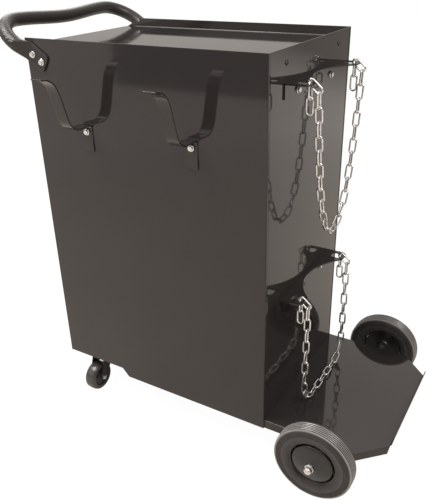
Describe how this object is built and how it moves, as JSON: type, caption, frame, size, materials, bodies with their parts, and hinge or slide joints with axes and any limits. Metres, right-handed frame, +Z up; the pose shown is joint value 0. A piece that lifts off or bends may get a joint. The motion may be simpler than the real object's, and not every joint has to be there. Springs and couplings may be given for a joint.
{
  "type": "welding cart",
  "caption": "Open-ended sheet-metal welding cart with a flanged top tray, inner shelf, tube push handle, strap cable hooks and a chained gas bottle platform on wheels and swivel casters.",
  "frame": {"origin": "on the floor under the middle of the cart's overall box", "axes": "+X from the handle end to the bottle platform, +Y to the left of a person pushing towards +X, +Z up"},
  "size_m": [0.9442, 0.6562, 0.9506],
  "materials": {
    "black_powder_coat": "gloss",
    "caster_steel": "satin",
    "zinc_plate": "bright zinc plate",
    "tyre_rubber": "matte",
    "hub_plastic": "satin",
    "dark_screw": "blackened"
  },
  "bodies": {
    "frame": {"front_panel": "black_powder_coat", "top_tray": "black_powder_coat", "middle_shelf": "black_powder_coat", "base_platform": "black_powder_coat", "push_handle": "black_powder_coat", "axle": "zinc_plate", "left_side_panel": "black_powder_coat", "left_rear_handle_bolt": "zinc_plate", "left_rear_cable_hook": "black_powder_coat", "left_rear_hook_bolt": "zinc_plate", "left_front_handle_bolt": "zinc_plate", "left_front_cable_hook": "black_powder_coat", "left_front_hook_bolt": "zinc_plate", "left_tray_screw": "dark_screw", "left_axle_hanger": "black_powder_coat", "left_axle_spacer": "zinc_plate", "left_axle_washer": "zinc_plate", "left_axle_nut": "zinc_plate", "left_caster_plate": "caster_steel", "right_side_panel": "black_powder_coat", "right_rear_handle_bolt": "zinc_plate", "right_rear_cable_hook": "black_powder_coat", "right_rear_hook_bolt": "zinc_plate", "right_front_handle_bolt": "zinc_plate", "right_front_cable_hook": "black_powder_coat", "right_front_hook_bolt": "zinc_plate", "right_tray_screw": "dark_screw", "right_axle_hanger": "black_powder_coat", "right_axle_spacer": "zinc_plate", "right_axle_washer": "zinc_plate", "right_axle_nut": "zinc_plate", "right_caster_plate": "caster_steel", "upper_bottle_bracket": "black_powder_coat", "upper_left_bracket_bolt": "zinc_plate", "upper_left_chain_anchor": "zinc_plate", "upper_right_bracket_bolt": "zinc_plate", "upper_right_chain_anchor": "zinc_plate", "lower_bottle_bracket": "black_powder_coat", "lower_left_bracket_bolt": "zinc_plate", "lower_left_chain_anchor": "zinc_plate", "lower_right_bracket_bolt": "zinc_plate", "lower_right_chain_anchor": "zinc_plate"},
    "left_wheel": {"left_wheel_hub": "hub_plastic", "left_wheel_tyre": "tyre_rubber"},
    "left_caster": {"left_caster_fork": "caster_steel", "left_caster_bolt": "zinc_plate"},
    "left_caster_wheel": {"left_caster_hub": "hub_plastic", "left_caster_tyre": "tyre_rubber"},
    "right_wheel": {"right_wheel_hub": "hub_plastic", "right_wheel_tyre": "tyre_rubber"},
    "right_caster": {"right_caster_fork": "caster_steel", "right_caster_bolt": "zinc_plate"},
    "right_caster_wheel": {"right_caster_hub": "hub_plastic", "right_caster_tyre": "tyre_rubber"},
    "upper_chain_span": {"upper_chain": "zinc_plate"},
    "lower_chain_span": {"lower_chain": "zinc_plate"}
  },
  "joints": [
    {"name": "left_wheel_spin", "type": "hinge", "parent": "frame", "child": "left_wheel", "pos_m": [0.33909, 0.24, 0.0885], "axis": [0, 1, 0], "continuous": true},
    {"name": "left_caster_swivel", "type": "hinge", "parent": "frame", "child": "left_caster", "pos_m": [-0.30591, 0.16, 0.085], "axis": [0, 0, 1], "continuous": true},
    {"name": "left_caster_roll", "type": "hinge", "parent": "left_caster", "child": "left_caster_wheel", "pos_m": [-0.30591, 0.19, 0.038], "axis": [1, 0, 0], "continuous": true},
    {"name": "right_wheel_spin", "type": "hinge", "parent": "frame", "child": "right_wheel", "pos_m": [0.33909, -0.24, 0.0885], "axis": [0, 1, 0], "continuous": true},
    {"name": "right_caster_swivel", "type": "hinge", "parent": "frame", "child": "right_caster", "pos_m": [-0.30591, -0.16, 0.085], "axis": [0, 0, 1], "continuous": true},
    {"name": "right_caster_roll", "type": "hinge", "parent": "right_caster", "child": "right_caster_wheel", "pos_m": [-0.30591, -0.19, 0.038], "axis": [1, 0, 0], "continuous": true},
    {"name": "upper_chain_swing", "type": "hinge", "parent": "frame", "child": "upper_chain_span", "pos_m": [0.25974, 0, 0.8333], "axis": [0, -1, 0], "range_deg": [-3, 60]},
    {"name": "lower_chain_swing", "type": "hinge", "parent": "frame", "child": "lower_chain_span", "pos_m": [0.25974, 0, 0.3793], "axis": [0, -1, 0], "range_deg": [0, 60]}
  ]
}
